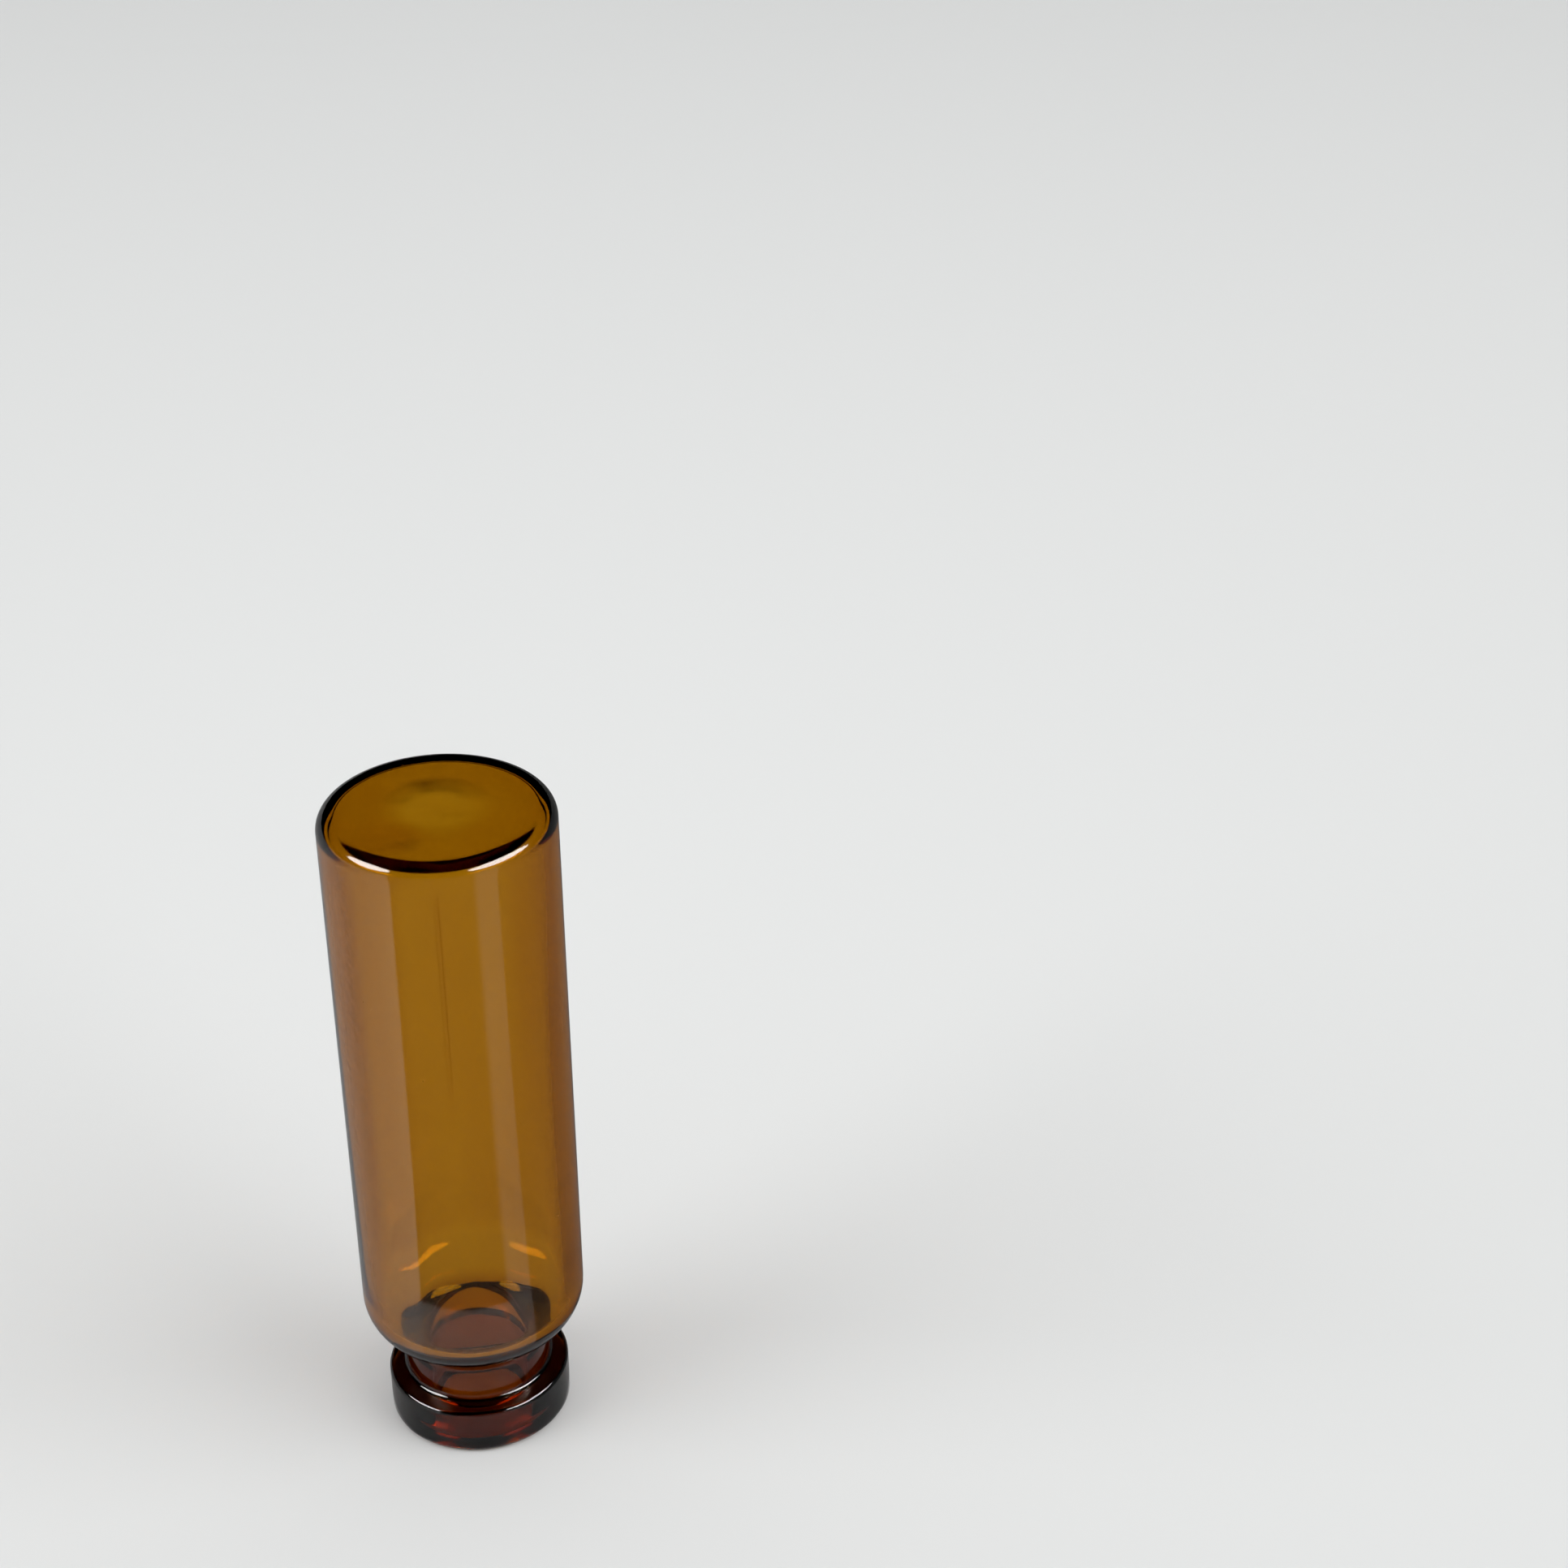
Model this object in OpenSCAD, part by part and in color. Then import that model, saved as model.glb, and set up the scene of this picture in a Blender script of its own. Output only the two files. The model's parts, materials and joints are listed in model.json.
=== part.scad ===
// Sample vial of amber glass with a crimp finish, worked from one length of drawn tube.
// It stands on its lip, mouth down. The Z axis is the vial's axis, Z = 0 is the plane of the lip,
// and +Z points to the closed base. All sizes are in millimetres.

/* [Body] */
// Outside diameter of the tube
body_d = 15.8; // [14:0.1:22]
// Height of the whole vial, from the lip to the ring on which the base would stand
height = 50; // [35:0.5:90]
// Wall of the tube and of the shoulder
wall = 1; // [0.8:0.05:1.3]

/* [Base] */
// Glass between the chamber's floor and the ring on which the base would stand
base_t = 1.1; // [0.8:0.05:2]
// Rounding outside, between the wall and the base
heel_r = 1.2; // [0.8:0.1:1.6]
// Rounding inside, between the wall and the floor
floor_r = 0.3; // [0.2:0.05:0.8]
// How far the middle of the base is pushed in
dish_depth = 0.3; // [0.1:0.05:0.5]
// Diameter of the dish at its rim
dish_d = 7.8; // [6:0.1:8]
// Width of the slope between the dish's rim and its flat middle
dish_slope_w = 1.8; // [1.2:0.1:2.2]
// Rounding at both ends of that slope
dish_r = 3; // [1:0.5:3]

/* [Shoulder] */
// Height of the shoulder's root on the neck, above the lip
shoulder_z = 7.05; // [6.5:0.05:10]
// Angle at which the shoulder leaves the neck, from level
shoulder_slope = 36; // [20:1:45]
// Rounding outside, between the shoulder and the wall, as far as the shoulder has room for it
shoulder_r = 3.1; // [2:0.05:4]
// Rounding outside, between the neck and the shoulder
shoulder_root_r = 1.5; // [0.3:0.1:1.5]

/* [Neck] */
// Outside diameter of the neck
neck_d = 10.4; // [9.8:0.1:10.5]
// Diameter of the straight bore from the lip through the neck
mouth_d = 7; // [5:0.1:8]
// Rounding where the bore opens into the chamber
throat_r = 2.4; // [0.5:0.1:2.6]

/* [Crown] */
// Outside diameter of the crown, the flange that a crimp cap grips
crown_d = 13; // [12.6:0.1:14]
// Height of the crown at its rim
crown_h = 3.6; // [2.6:0.05:4.2]
// Angle at which the crown's back rises from its rim to the neck, from level
crown_slope = 12; // [5:1:20]
// Rounding of the lip, outside
lip_r = 0.5; // [0.2:0.05:0.8]
// Rounding of the lip, inside
mouth_edge_r = 0.4; // [0.2:0.05:0.8]
// Rounding of the rim on the crown's back
crown_back_r = 0.4; // [0.2:0.05:0.5]
// Rounding between the crown's back and the neck
crown_root_r = 0.5; // [0.2:0.05:0.5]

/* [Colour] */
// Colour of the glass
glass_colour = "#98671bcc"; // ["#98671bcc":amber, "#dfe9e699":clear]

/* [Quality] */
// Facets in a full circle
facets = 160; // [48:8:256]

/* [Hidden] */
$fn = facets;

body_r = body_d / 2;
chamber_r = body_r - wall;
neck_r = neck_d / 2;
mouth_r = mouth_d / 2;
crown_r = crown_d / 2;

// Where the crown's back meets the neck
crown_root_z = crown_h + (crown_r - neck_r) * tan(crown_slope);

// The shoulder's rounding takes what its slope has left beside the root's own rounding
slope_l = (body_r - neck_r) / cos(shoulder_slope);
reach_share = tan(45 - shoulder_slope / 2);
shoulder_outside_r = min(shoulder_r, slope_l / reach_share - shoulder_root_r);

// Corners of the shoulder before rounding: outside on the wall, then inside on the wall and the bore
shoulder_top_z = shoulder_z + (body_r - neck_r) * tan(shoulder_slope);
shoulder_inside_z = shoulder_z + wall / cos(shoulder_slope);
chamber_low_z = shoulder_inside_z + (chamber_r - neck_r) * tan(shoulder_slope);
throat_z = shoulder_inside_z - (neck_r - mouth_r) * tan(shoulder_slope);

// Where the mouth's end hands over to the closed end, on the plain wall
middle_z = height / 2;

// Levels of the chamber's floor and of the dish's middle
floor_z = height - base_t;
dish_z = height - dish_depth;

// How much too large a corner's disc is, and where its segment starts between centre and chord
arc_lap = 0.0003;
chord_share = 0.9;

function unit(v) = v / norm(v);

// The arc that rounds a corner: its start, its end and its centre
function corner_arc(before, corner, after, radius) =
    let (
        to_before = unit(before - corner),
        to_after = unit(after - corner),
        half_angle = acos(to_before * to_after) / 2,
        reach = radius / tan(half_angle)
    )
    [
        corner + reach * to_before,
        corner + reach * to_after,
        corner + unit(to_before + to_after) * radius / sin(half_angle),
    ];

// The segment of a disc beyond a corner's chord, for arcs of up to 120 degrees. It is a hair too
// large and starts a little behind the chord, so that it crosses the outline's edges and never
// only touches them.
module arc_segment(arc, radius) {
    chord = arc[1] - arc[0];
    outward = (arc[0] + arc[1]) / 2 - arc[2];
    foot = arc[2] + chord_share * outward;
    intersection() {
        translate(arc[2]) circle(radius + arc_lap);
        polygon([foot - chord, foot + chord, foot + chord + 2 * outward, foot - chord + 2 * outward]);
    }
}

// An outline from corners of the form [r, z, rounding], listed anticlockwise.
// Each rounded corner is cut off straight. Then outward arcs are filled and inward ones hollowed.
module rounded_outline(corners) {
    last = len(corners) - 1;
    points = [for (c = corners) [c.x, c.y]];
    before = [for (i = [0 : last]) points[i == 0 ? last : i - 1]];
    after = [for (i = [0 : last]) points[i == last ? 0 : i + 1]];
    arcs = [for (i = [0 : last]) corner_arc(before[i], points[i], after[i], corners[i].z)];
    turns = [for (i = [0 : last]) corners[i].z * cross(points[i] - before[i], after[i] - points[i])];
    difference() {
        union() {
            polygon([for (i = [0 : last]) each turns[i] == 0 ? [points[i]] : [arcs[i][0], arcs[i][1]]]);
            for (i = [0 : last])
                if (turns[i] > 0)
                    arc_segment(arcs[i], corners[i].z);
        }
        for (i = [0 : last])
            if (turns[i] < 0)
                arc_segment(arcs[i], corners[i].z);
    }
}

// Half of the section through the crown, the neck, the shoulder and the first half of the wall
module mouth_end() {
    rounded_outline([
        [mouth_r, 0, mouth_edge_r],
        [crown_r, 0, lip_r],
        [crown_r, crown_h, crown_back_r],
        [neck_r, crown_root_z, crown_root_r],
        [neck_r, shoulder_z, shoulder_root_r],
        [body_r, shoulder_top_z, shoulder_outside_r],
        [body_r, middle_z, 0],
        [chamber_r, middle_z, 0],
        [chamber_r, chamber_low_z, shoulder_outside_r - wall],
        [mouth_r, throat_z, throat_r],
    ]);
}

// Half of the section through the second half of the wall and the base
module closed_end() {
    rounded_outline([
        [chamber_r, middle_z, 0],
        [body_r, middle_z, 0],
        [body_r, height, heel_r],
        [dish_d / 2, height, dish_r],
        [dish_d / 2 - dish_slope_w, dish_z, dish_r],
        [0, dish_z, 0],
        [0, floor_z, 0],
        [chamber_r, floor_z, floor_r],
    ]);
}

module vial() {
    color(glass_colour)
        rotate_extrude() {
            mouth_end();
            closed_end();
        }
}

vial();
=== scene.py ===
"""An amber sample vial, standing on its lip on a pale table, seen at the photograph's angle.

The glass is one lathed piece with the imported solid's section. Lengths are in millimetres in this
script and are turned into metres where the meshes and the lamps are made.
"""

import json
from math import atan2, ceil, cos, exp, hypot, pi, radians, sin, tan

import bpy
from mathutils import Matrix, Vector, noise


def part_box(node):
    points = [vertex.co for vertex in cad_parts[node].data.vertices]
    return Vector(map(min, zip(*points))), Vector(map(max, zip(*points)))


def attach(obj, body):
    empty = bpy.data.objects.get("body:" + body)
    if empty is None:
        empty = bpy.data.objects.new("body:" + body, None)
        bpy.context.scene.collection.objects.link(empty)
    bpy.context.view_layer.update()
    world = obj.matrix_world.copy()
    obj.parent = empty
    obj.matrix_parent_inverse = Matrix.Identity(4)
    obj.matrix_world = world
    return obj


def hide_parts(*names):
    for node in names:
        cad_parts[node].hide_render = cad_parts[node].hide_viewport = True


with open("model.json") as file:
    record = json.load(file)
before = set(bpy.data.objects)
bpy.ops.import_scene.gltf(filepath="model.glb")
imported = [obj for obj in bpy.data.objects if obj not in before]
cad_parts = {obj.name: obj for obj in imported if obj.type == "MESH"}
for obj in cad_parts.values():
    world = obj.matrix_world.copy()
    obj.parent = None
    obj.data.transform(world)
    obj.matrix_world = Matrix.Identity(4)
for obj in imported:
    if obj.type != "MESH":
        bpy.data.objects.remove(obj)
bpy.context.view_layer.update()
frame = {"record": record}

MM = 0.001

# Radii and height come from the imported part
radius_of = {m["name"]: m["dims"]["r_mm"] for m in frame["record"]["mounts"] if "r_mm" in m["dims"]}
BODY_R = radius_of["body"]
CROWN_R = radius_of["crown"]
MOUTH_R = radius_of["mouth"]
HEIGHT = round(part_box("vial")[1].z / MM, 3)

# The rest of the section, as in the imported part
WALL = 1.0
NECK_R = 5.2
BASE_T = 1.1
HEEL_R = 1.2
FLOOR_R = 0.3
DISH_DEPTH = 0.3
DISH_D = 7.8
DISH_SLOPE_W = 1.8
DISH_R = 3
SHOULDER_Z = 7.05
SHOULDER_SLOPE = radians(36)
SHOULDER_R = 3.1
SHOULDER_ROOT_R = 1.5
THROAT_R = 2.4
CROWN_H = 3.6
CROWN_SLOPE = radians(12)
LIP_R = 0.5
MOUTH_EDGE_R = 0.4
CROWN_BACK_R = 0.4
CROWN_ROOT_R = 0.5
CHAMBER_R = BODY_R - WALL
FLOOR_Z = HEIGHT - BASE_T

# How finely the lathe cuts: segments round, turn between two rings of an arc, and about the longest
# step between rings, on the wall and elsewhere. A straight gets CROWDING times as many rings,
# because they crowd near its ends.
SEGMENTS = 360
ARC_STEP = radians(6)
WALL_STEP = 1.8
LONGEST_STEP = 0.5
SHORT_STRAIGHT = 1.5 * LONGEST_STEP
CROWDING = 1.2

# Unevenness of drawn and pressed glass: how high its waves are, and how wide and long
SKIN_WAVE = 0.004
SKIN_WAVE_W = 5
CROWN_WAVE = 0.02
CROWN_WAVE_W = 1.5
WALL_WAVE = 0.1
WALL_WAVE_W = 2.5
WALL_WAVE_L = 30
# The straight wall inside begins at WALL_LOW_Z, and its waves fade out towards both its ends
WALL_LOW_Z = 10.6
WALL_FADE = 2
# A fine line from drawing, inside the wall, which fades out going down
DRAW_LINE_AZIMUTH = radians(-94)
DRAW_LINE_HEIGHT = 0.155
DRAW_LINE_W = 0.14
DRAW_LINE_END_Z = 27
DRAW_LINE_FADE = 8
# The chamber's floor: waves, finer ones in its middle, and one lump
FLOOR_WAVE = 0.09
FLOOR_WAVE_W = 3.6
FLOOR_SWIRL = 0.05
FLOOR_SWIRL_W = 1.5
FLOOR_SWIRL_R = 3.2
FLOOR_LUMP_AT = Vector((-2.4, -2.8))
FLOOR_LUMP_HEIGHT = 0.2
FLOOR_LUMP_W = 1.7

# Glass
GLASS_IOR = 1.51
ABSORBED_COLOUR = (0.851, 0.715, 0.06, 1)
ABSORPTION_DENSITY = 3000
# Roughness of clean glass and of a smudge, and the noise between them, in waves in a metre
CLEAN_ROUGHNESS = 0.01
SMUDGE_ROUGHNESS = 0.12
SMUDGE_BEGINS = 0.45
SMUDGE_FULL = 0.75
SMUDGE_SCALE = 160
SMUDGE_DETAIL = 4
# Seeds: cells in a metre with one seed in each, and a seed's outer and inner radius in cells
SEED_CELLS = 240
SEED_OUTER_R = 0.022
SEED_INNER_R = 0.012
SEED_ROUGHNESS = 0.5
# Orange peel, in waves in a metre
POLISH_SCALE = 500
POLISH_DETAIL = 2
POLISH_HEIGHT = 0.02
POLISH_STRENGTH = 0.3

# The picture and the camera. The target is a point on the vial's axis, and it shows at AIM_PIXEL.
PHOTO_SIDE = 1932
FOCAL_PIXELS = 3410.3
AIM_PIXEL = (570.9, 1419.2)
TARGET = Vector((0, 0, 22))
CAMERA_DISTANCE = 196.9
CAMERA_ELEVATION = radians(36.79)
CAMERA_ROLL = radians(-4.515)
CAMERA_CLIP = 10
SENSOR_WIDTH = 36

# Table, just below the lip's unevenness. It turns up beyond TABLE_R, and painted shade makes it
# darker away from its middle.
STAGE_SEGMENTS = 96
TABLE_Z = -0.02
TABLE_RINGS = (0, 100, 300)
TABLE_R = 1000
TABLE_RIM_R = 750
TABLE_RIM_TURN = radians(50)
TABLE_RIM_STEPS = 12
TABLE_COLOUR = (0.80, 0.81, 0.805, 1)
# The darker colour that the table's painted shade reaches away from its middle
TABLE_PAINTED_SHADE_COLOUR = (0.64, 0.648, 0.644, 1)
TABLE_MIDDLE_Y = 60
TABLE_FADE_R = 520
MATT_ROUGHNESS = 0.9

# Soft boxes: azimuth, elevation, half width and half height in degrees. Azimuth 0 is the camera's
# side, and 90 is the right.
LEFT_SOFT_BOX = (-76, 33, 21.5, 11.3)
RIGHT_SOFT_BOX = (60, 33, 30, 11.3)
LAMP_DISTANCE = 3000
LAMP_RADIANCE = 4.5
SHEEN_RADIANCE = 11
SHEEN_GAP = 20
WORLD_BRIGHTNESS = 0.61

# Rings of card between these radii and out to the rim, and their greys by azimuth in degrees.
# The greys are painted shade of the table round the vial, and only reflections show the cards.
CARD_Z = 0.1
CARD_RADII = (6.8, 12, 25)
NEAR_SHADE_GREYS = [(-180, 0.4), (180, 0.4)]
LEFT_SHADE_GREYS = [
    (-180, 0.3), (-146, 0.35), (-115, 0.5), (-101, 0.5), (-80, 0.6), (-60, 0.85), (-49.2, 0.95)]
RIGHT_SHADE_GREYS = [(51, 0.55), (51.4, 0.13), (180, 0.13)]
MIDDLE_SHADE_GREYS = LEFT_SHADE_GREYS + [(-48.8, 0.75), (27, 0.75)] + RIGHT_SHADE_GREYS
OUTER_SHADE_GREYS = LEFT_SHADE_GREYS + [(-48.8, 0.13), (27, 0.13), (32, 0.55)] + RIGHT_SHADE_GREYS


def sweep(centre, start, end):
    """Points of the arc round centre from start to end, the short way."""
    spoke = start - centre
    first = atan2(spoke.y, spoke.x)
    turn = (atan2(end.y - centre.y, end.x - centre.x) - first + pi) % (2 * pi) - pi
    steps = max(ceil(abs(turn) / ARC_STEP), ceil(abs(turn) * spoke.length / LONGEST_STEP))
    angles = [first + turn * k / steps for k in range(steps + 1)]
    return [centre + spoke.length * Vector((cos(a), sin(a))) for a in angles]


def rounded_corner(before, corner, after, radius):
    """Points of the arc that rounds a corner."""
    to_before = (before - corner).normalized()
    to_after = (after - corner).normalized()
    half_angle = to_before.angle(to_after) / 2
    reach = radius / tan(half_angle)
    centre = corner + (to_before + to_after).normalized() * (radius / sin(half_angle))
    return sweep(centre, corner + reach * to_before, corner + reach * to_after)


def rounded_line(corners):
    """Points along a line of corners (r, z, rounding), without its two ends."""
    at = [Vector(c[:2]) for c in corners]
    points = []
    for k in range(1, len(corners) - 1):
        points += rounded_corner(at[k - 1], at[k], at[k + 1], corners[k][2])
    return points


def with_steps(points):
    """The points with more on each long straight, closest together where an arc begins."""
    stepped = [points[0]]
    for a, b in zip(points, points[1:]):
        length = (b - a).length
        longest = WALL_STEP if length > HEIGHT / 2 else LONGEST_STEP
        steps = ceil(length / longest * CROWDING) if length > SHORT_STRAIGHT else 1
        stepped += [a.lerp(b, (1 - cos(pi * k / steps)) / 2) for k in range(1, steps + 1)]
    return stepped


def outside():
    """Section from the middle of the base, down the outside, to the lip."""
    root_z = CROWN_H + (CROWN_R - NECK_R) * tan(CROWN_SLOPE)
    shoulder_top_z = SHOULDER_Z + (BODY_R - NECK_R) * tan(SHOULDER_SLOPE)
    return with_steps([Vector((0, HEIGHT - DISH_DEPTH))] + rounded_line([
        (0, HEIGHT - DISH_DEPTH, 0),
        (DISH_D / 2 - DISH_SLOPE_W, HEIGHT - DISH_DEPTH, DISH_R),
        (DISH_D / 2, HEIGHT, DISH_R),
        (BODY_R, HEIGHT, HEEL_R),
        (BODY_R, shoulder_top_z, SHOULDER_R),
        (NECK_R, SHOULDER_Z, SHOULDER_ROOT_R),
        (NECK_R, root_z, CROWN_ROOT_R),
        (CROWN_R, CROWN_H, CROWN_BACK_R),
        (CROWN_R, 0, LIP_R),
        (MOUTH_R, 0, 0),
    ]))


def inside():
    """Section from the lip, up the bore and the chamber, to the middle of the floor."""
    inside_z = SHOULDER_Z + WALL / cos(SHOULDER_SLOPE)
    chamber_low_z = inside_z + (CHAMBER_R - NECK_R) * tan(SHOULDER_SLOPE)
    throat_z = inside_z - (NECK_R - MOUTH_R) * tan(SHOULDER_SLOPE)
    return with_steps(rounded_line([
        (CROWN_R, 0, 0),
        (MOUTH_R, 0, MOUTH_EDGE_R),
        (MOUTH_R, throat_z, THROAT_R),
        (CHAMBER_R, chamber_low_z, SHOULDER_R - WALL),
        (CHAMBER_R, FLOOR_Z, FLOOR_R),
        (0, FLOOR_Z, 0),
    ]) + [Vector((0, FLOOR_Z))])


def lathe(name, section, segments):
    """A mesh turned round the Z axis from points (r, z). An end on the axis closes to a tip."""
    turns = [2 * pi * j / segments for j in range(segments)]
    points = [(p.x * cos(t), p.x * sin(t), p.y) for p in section if p.x > 0 for t in turns]
    last_ring = len(points) - segments
    faces = []
    for ring in range(0, last_ring, segments):
        for j in range(segments):
            k = (j + 1) % segments
            faces.append((ring + j, ring + segments + j, ring + segments + k, ring + k))
    for end, ring, way in ((section[0], 0, 1), (section[-1], last_ring, -1)):
        if end.x == 0:
            tip = len(points)
            points.append((0, 0, end.y))
            faces += [(tip, ring + j, ring + (j + 1) % segments)[::way] for j in range(segments)]
    mesh = bpy.data.meshes.new(name)
    mesh.from_pydata([Vector(p) * MM for p in points], [], faces)
    mesh.shade_smooth()
    piece = bpy.data.objects.new(name, mesh)
    bpy.context.scene.collection.objects.link(piece)
    return piece


def faded(share):
    """From 0 to 1, without a kink at either end."""
    share = min(max(share, 0), 1)
    return share * share * (3 - 2 * share)


def crown_unevenness(p):
    """Waves of the crown, the neck and the bore, which fade out at the shoulder."""
    fade = 1 - (p.z / SHOULDER_Z) ** 4
    return CROWN_WAVE * fade * noise.noise(p / CROWN_WAVE_W)


def wall_unevenness(p, azimuth):
    """Long waves inside the wall, and the line from drawing."""
    across = CHAMBER_R * Vector((cos(azimuth), sin(azimuth))) / WALL_WAVE_W
    wave = WALL_WAVE * noise.noise(Vector((across.x, across.y, p.z / WALL_WAVE_L)))
    from_line = CHAMBER_R * (azimuth - DRAW_LINE_AZIMUTH) / DRAW_LINE_W
    line_fade = faded((p.z - DRAW_LINE_END_Z) / DRAW_LINE_FADE)
    line = DRAW_LINE_HEIGHT * line_fade * exp(-from_line ** 2)
    return faded(min(FLOOR_Z - FLOOR_R - p.z, p.z - WALL_LOW_Z) / WALL_FADE) * (wave + line)


def floor_unevenness(p, radius):
    """Waves and a lump of the chamber's floor, which fade out at its corner."""
    fade = 1 - (radius / CHAMBER_R) ** 4
    lump = FLOOR_LUMP_HEIGHT * exp(-((p.xy - FLOOR_LUMP_AT).length / FLOOR_LUMP_W) ** 2)
    wave = FLOOR_WAVE * noise.noise(p / FLOOR_WAVE_W)
    swirl_fade = exp(-(radius / FLOOR_SWIRL_R) ** 4)
    return fade * (lump + wave) + FLOOR_SWIRL * swirl_fade * noise.noise(p / FLOOR_SWIRL_W)


def unevenness(p):
    """How far the glass stands proud at p."""
    radius = hypot(p.x, p.y)
    skin = SKIN_WAVE * noise.noise(p / SKIN_WAVE_W)
    if p.z < SHOULDER_Z:
        return skin + crown_unevenness(p)
    if radius > CHAMBER_R + WALL / 2 or p.z > HEIGHT - BASE_T / 2:
        return skin
    if radius > CHAMBER_R - FLOOR_R / 2:
        return skin + wall_unevenness(p, atan2(p.y, p.x))
    if p.z > FLOOR_Z - BASE_T:
        return skin + floor_unevenness(p, radius)
    return skin


def make_uneven(piece):
    """Moves each point of the glass along its normal by the unevenness there."""
    moves = [v.normal * unevenness(v.co / MM) * MM for v in piece.data.vertices]
    for vertex, move in zip(piece.data.vertices, moves):
        vertex.co += move


def amber_glass():
    """Clear amber glass: the colour is in its volume, so that thick glass is darker."""
    material = bpy.data.materials.new("amber_glass")
    material.use_nodes = True
    nodes = material.node_tree.nodes
    links = material.node_tree.links
    shader = nodes["Principled BSDF"]
    shader.inputs["Base Color"].default_value = (1, 1, 1, 1)
    shader.inputs["Transmission Weight"].default_value = 1
    shader.inputs["IOR"].default_value = GLASS_IOR
    volume = nodes.new("ShaderNodeVolumeAbsorption")
    volume.inputs["Color"].default_value = ABSORBED_COLOUR
    volume.inputs["Density"].default_value = ABSORPTION_DENSITY
    links.new(volume.outputs["Volume"], nodes["Material Output"].inputs["Volume"])
    links.new(smudges_and_seeds(nodes, links), shader.inputs["Roughness"])
    links.new(fire_polish(nodes, links), shader.inputs["Normal"])
    return material


def object_noise(nodes, links, scale, detail):
    """Noise that is fixed to the object, with about scale waves in a metre."""
    place = nodes.new("ShaderNodeTexCoord")
    texture = nodes.new("ShaderNodeTexNoise")
    texture.inputs["Scale"].default_value = scale
    texture.inputs["Detail"].default_value = detail
    links.new(place.outputs["Object"], texture.inputs["Vector"])
    return texture.outputs["Fac"]


def smudges_and_seeds(nodes, links):
    """Roughness: clean glass with faint smudges, and sparse seeds a tenth of a millimetre wide."""
    smudge = nodes.new("ShaderNodeMapRange")
    smudge.inputs["From Min"].default_value = SMUDGE_BEGINS
    smudge.inputs["From Max"].default_value = SMUDGE_FULL
    smudge.inputs["To Min"].default_value = CLEAN_ROUGHNESS
    smudge.inputs["To Max"].default_value = SMUDGE_ROUGHNESS
    links.new(object_noise(nodes, links, SMUDGE_SCALE, SMUDGE_DETAIL), smudge.inputs["Value"])
    place = nodes.new("ShaderNodeTexCoord")
    cells = nodes.new("ShaderNodeTexVoronoi")
    cells.inputs["Scale"].default_value = SEED_CELLS
    links.new(place.outputs["Object"], cells.inputs["Vector"])
    seed = nodes.new("ShaderNodeMapRange")
    seed.inputs["From Min"].default_value = SEED_OUTER_R
    seed.inputs["From Max"].default_value = SEED_INNER_R
    seed.inputs["To Max"].default_value = SEED_ROUGHNESS
    links.new(cells.outputs["Distance"], seed.inputs["Value"])
    both = nodes.new("ShaderNodeMath")
    both.operation = "MAXIMUM"
    links.new(smudge.outputs["Result"], both.inputs[0])
    links.new(seed.outputs["Result"], both.inputs[1])
    return both.outputs["Value"]


def fire_polish(nodes, links):
    """Normal: the slight orange peel of glass that was softened in a flame."""
    bump = nodes.new("ShaderNodeBump")
    bump.inputs["Strength"].default_value = POLISH_STRENGTH
    bump.inputs["Distance"].default_value = POLISH_HEIGHT * MM
    links.new(object_noise(nodes, links, POLISH_SCALE, POLISH_DETAIL), bump.inputs["Height"])
    return bump.outputs["Normal"]


def matt_material(name):
    """A matt material whose colour is still to be linked."""
    material = bpy.data.materials.new(name)
    material.use_nodes = True
    shader = material.node_tree.nodes["Principled BSDF"]
    shader.inputs["Roughness"].default_value = MATT_ROUGHNESS
    shader.inputs["Specular IOR Level"].default_value = 0
    return material


def table_material():
    """Matt and nearly white, with painted shade that makes it a little darker away from the middle
    of the picture.
    """
    material = matt_material("table_top")
    nodes = material.node_tree.nodes
    links = material.node_tree.links
    place = nodes.new("ShaderNodeTexCoord")
    fade = nodes.new("ShaderNodeMapping")
    fade.inputs["Location"].default_value = (0, -TABLE_MIDDLE_Y / TABLE_FADE_R, 0)
    fade.inputs["Scale"].default_value = (1 / (TABLE_FADE_R * MM), 1 / (TABLE_FADE_R * MM), 0)
    nearness = nodes.new("ShaderNodeTexGradient")
    nearness.gradient_type = "SPHERICAL"
    colours = nodes.new("ShaderNodeValToRGB")
    # Painted shade: the darker colour lies away from the middle, and the table's own colour in it
    colours.color_ramp.elements[0].color = TABLE_PAINTED_SHADE_COLOUR
    colours.color_ramp.elements[1].color = TABLE_COLOUR
    links.new(place.outputs["Object"], fade.inputs["Vector"])
    links.new(fade.outputs["Vector"], nearness.inputs["Vector"])
    links.new(nearness.outputs["Fac"], colours.inputs["Fac"])
    links.new(colours.outputs["Color"], nodes["Principled BSDF"].inputs["Base Color"])
    return material


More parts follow.
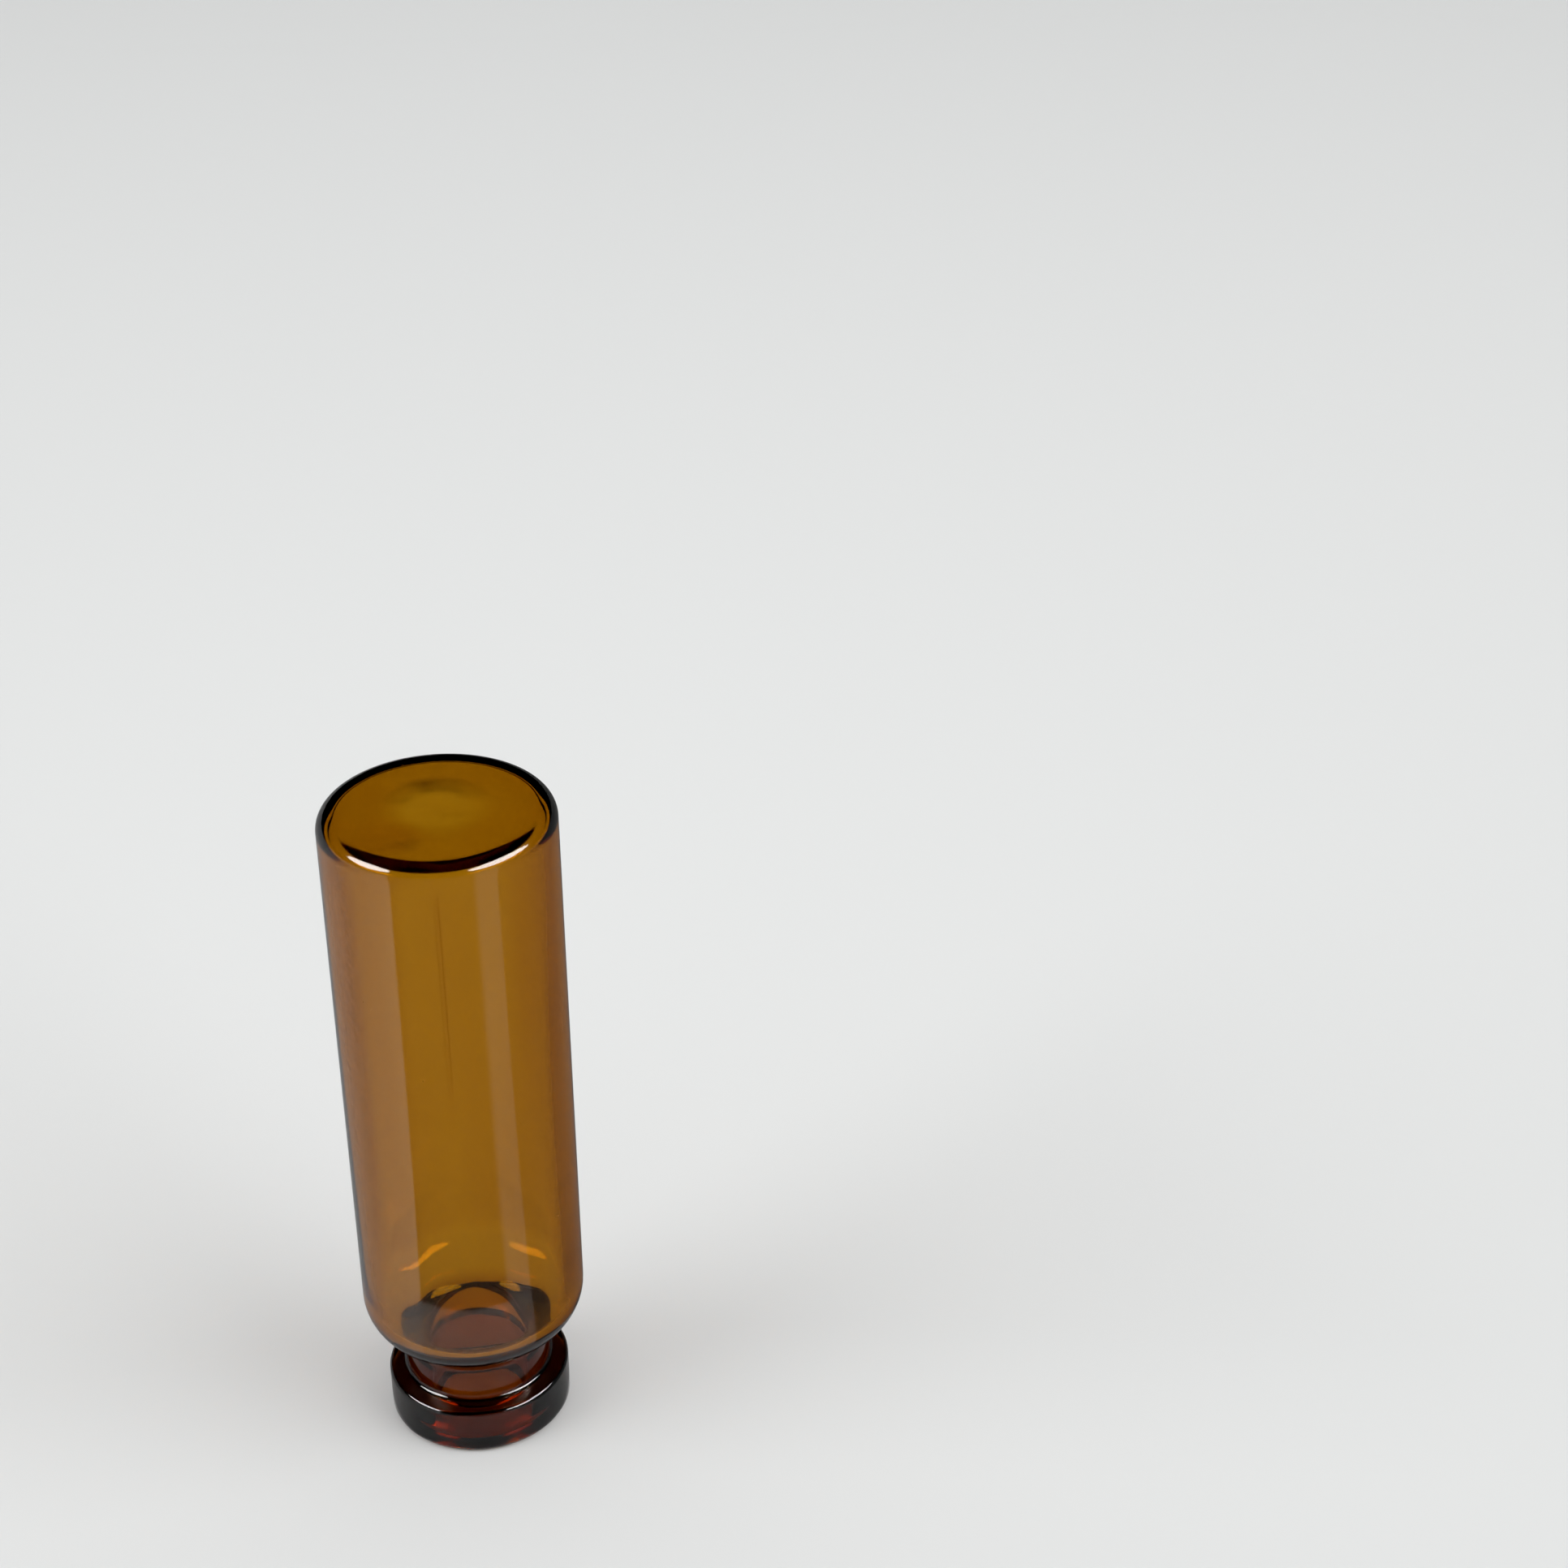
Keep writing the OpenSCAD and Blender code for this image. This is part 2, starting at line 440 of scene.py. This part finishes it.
def card_material(name, shade_stops):
    """Matt greys by azimuth round the vial, which paint the shade on the table there."""
    material = matt_material(name)
    nodes = material.node_tree.nodes
    links = material.node_tree.links
    place = nodes.new("ShaderNodeTexCoord")
    turn = nodes.new("ShaderNodeMapping")
    turn.inputs["Rotation"].default_value = (0, 0, radians(90))
    azimuth = nodes.new("ShaderNodeTexGradient")
    azimuth.gradient_type = "RADIAL"
    greys = nodes.new("ShaderNodeValToRGB")
    stops = greys.color_ramp.elements
    while len(stops) < len(shade_stops):
        stops.new(1)
    for stop, (degrees, grey) in zip(stops, shade_stops):
        stop.position = degrees / 360 + 0.5
        stop.color = (grey, grey, grey, 1)
    links.new(place.outputs["Object"], turn.inputs["Vector"])
    links.new(turn.outputs["Vector"], azimuth.inputs["Vector"])
    links.new(azimuth.outputs["Fac"], greys.inputs["Fac"])
    links.new(greys.outputs["Color"], nodes["Principled BSDF"].inputs["Base Color"])
    return material


def add_vial():
    """The vial's glass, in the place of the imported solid."""
    vial = lathe("vial_glass", outside() + inside(), SEGMENTS)
    make_uneven(vial)
    vial.data.materials.append(amber_glass())
    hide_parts("vial")
    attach(vial, "root")


def upturned_rim(z):
    """Section of a surface at height z that turns up where the table ends."""
    turns = [TABLE_RIM_TURN * k / TABLE_RIM_STEPS for k in range(TABLE_RIM_STEPS + 1)]
    return [Vector((TABLE_R + TABLE_RIM_R * sin(a), z + TABLE_RIM_R * (1 - cos(a)))) for a in turns]


def add_table():
    """Pale table that turns up at its rim, so that low views have a pale background too."""
    flat = [Vector((r, TABLE_Z)) for r in TABLE_RINGS]
    table = lathe("table", flat + upturned_rim(TABLE_Z), STAGE_SEGMENTS)
    table.data.materials.append(table_material())


def add_card(name, section, shade_stops):
    """A ring of card that only reflections show. Its greys are painted shade that darkens the
    table's reflections in the glass.
    """
    card = lathe(name, section, STAGE_SEGMENTS)
    card.data.materials.append(card_material(name, shade_stops))
    card.visible_camera = False
    card.visible_diffuse = False
    card.visible_transmission = False
    card.visible_shadow = False


def add_cards():
    """Three rings of card on the table, the outer one up the rim too, with painted shade in their
    greys.
    """
    edges = [Vector((r, CARD_Z)) for r in CARD_RADII]
    add_card("near_card", edges[:2], NEAR_SHADE_GREYS)
    add_card("middle_card", edges[1:], MIDDLE_SHADE_GREYS)
    add_card("outer_card", edges[2:] + upturned_rim(CARD_Z), OUTER_SHADE_GREYS)


def add_lamp(name, azimuth, elevation, half_width, half_height, distance, radiance):
    """An oval lamp that faces the vial, with its angles in degrees."""
    a = radians(azimuth)
    e = radians(elevation)
    away = Vector((sin(a) * cos(e), -cos(a) * cos(e), sin(e)))
    light = bpy.data.lights.new(name, "AREA")
    light.shape = "ELLIPSE"
    light.size = 2 * distance * tan(radians(half_width)) * MM
    light.size_y = 2 * distance * tan(radians(half_height)) * MM
    light.energy = radiance * pi / 4 * light.size * light.size_y * pi
    lamp = bpy.data.objects.new(name, light)
    lamp.location = (TARGET + away * distance) * MM
    lamp.rotation_euler = away.to_track_quat("Z", "Y").to_euler()
    bpy.context.scene.collection.objects.link(lamp)
    return lamp


def add_soft_box(name, *angles):
    """A soft box. Its sheen, just behind it, brightens what glass shows of it and not the table."""
    add_lamp(name, *angles, LAMP_DISTANCE, LAMP_RADIANCE)
    sheen = add_lamp(name + "_sheen", *angles, LAMP_DISTANCE + SHEEN_GAP, SHEEN_RADIANCE)
    sheen.visible_diffuse = False


def add_world():
    """Fill light from all round, which the glass doesn't show, because the room above is dark."""
    world = bpy.data.worlds.new("studio")
    world.use_nodes = True
    background = world.node_tree.nodes["Background"]
    background.inputs["Color"].default_value = (1, 1, 1, 1)
    background.inputs["Strength"].default_value = WORLD_BRIGHTNESS
    world.cycles_visibility.glossy = False
    world.cycles_visibility.transmission = False
    bpy.context.scene.world = world


def add_camera():
    """The camera looks down on the vial, rolled and turned so that the target is at AIM_PIXEL."""
    middle = PHOTO_SIDE / 2
    back = Vector((0, -cos(CAMERA_ELEVATION), sin(CAMERA_ELEVATION)))
    right = Vector((1, 0, 0))
    upright = Matrix((right, back.cross(right), back)).transposed()
    ray = Vector((AIM_PIXEL[0] - middle, middle - AIM_PIXEL[1], -FOCAL_PIXELS)).normalized()
    pan = atan2(ray.x, -ray.z)
    turned = Matrix.Rotation(pan, 3, "Y")
    ray = turned @ ray
    tilt = atan2(ray.y, -ray.z)
    turned = Matrix.Rotation(-tilt, 3, "X") @ turned
    camera = bpy.data.objects.new("camera", bpy.data.cameras.new("camera"))
    camera.data.sensor_width = SENSOR_WIDTH
    camera.data.lens = SENSOR_WIDTH * FOCAL_PIXELS / PHOTO_SIDE
    camera.data.clip_start = CAMERA_CLIP * MM
    rotation = upright @ Matrix.Rotation(CAMERA_ROLL, 3, "Z") @ turned
    place = (TARGET + back * CAMERA_DISTANCE) * MM
    camera.matrix_world = Matrix.Translation(place) @ rotation.to_4x4()
    bpy.context.scene.collection.objects.link(camera)
    bpy.context.scene.camera = camera


def set_up_render():
    """Plain colours, and enough bounces for light to get out of thick glass."""
    scene = bpy.context.scene
    scene.view_settings.view_transform = "Standard"
    scene.cycles.max_bounces = 32
    scene.cycles.transmission_bounces = 32
    scene.cycles.glossy_bounces = 16
    scene.cycles.diffuse_bounces = 2


add_camera()
add_vial()
add_table()
add_cards()
add_soft_box("left_soft_box", *LEFT_SOFT_BOX)
add_soft_box("right_soft_box", *RIGHT_SOFT_BOX)
add_world()
set_up_render()
